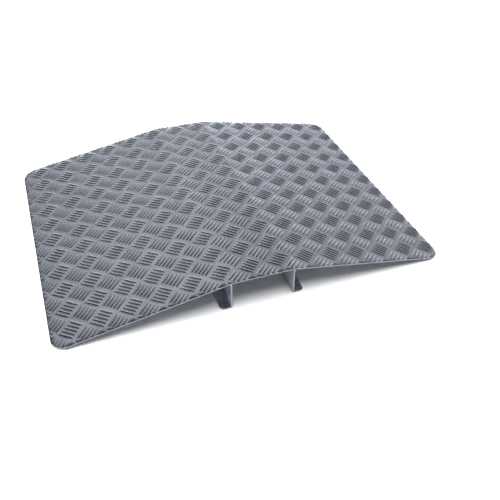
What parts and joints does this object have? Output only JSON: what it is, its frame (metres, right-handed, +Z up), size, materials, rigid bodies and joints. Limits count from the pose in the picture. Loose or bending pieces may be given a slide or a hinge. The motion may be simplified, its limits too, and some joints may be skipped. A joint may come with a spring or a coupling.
{
  "type": "portable wheelchair ramp",
  "caption": "Tread-plate bridge ramp: level top with a slope each side, on two L-shaped legs that straddle a doorstep.",
  "frame": {"origin": "on the floor, under the middle of the level top", "axes": "+X along the way wheels roll over the ramp, +Y across it, +Z up"},
  "size_m": [0.9, 0.7, 0.075],
  "materials": {
    "tread_plate": "satin mill finish",
    "weld_bead": "matte as-welded"
  },
  "bodies": {
    "root": {"deck_plate": "tread_plate", "left_leg": "tread_plate", "right_leg": "tread_plate", "left_weld_1": "weld_bead", "left_weld_2": "weld_bead", "left_weld_3": "weld_bead", "left_weld_4": "weld_bead", "right_weld_1": "weld_bead", "right_weld_2": "weld_bead", "right_weld_3": "weld_bead", "right_weld_4": "weld_bead"}
  },
  "joints": []
}
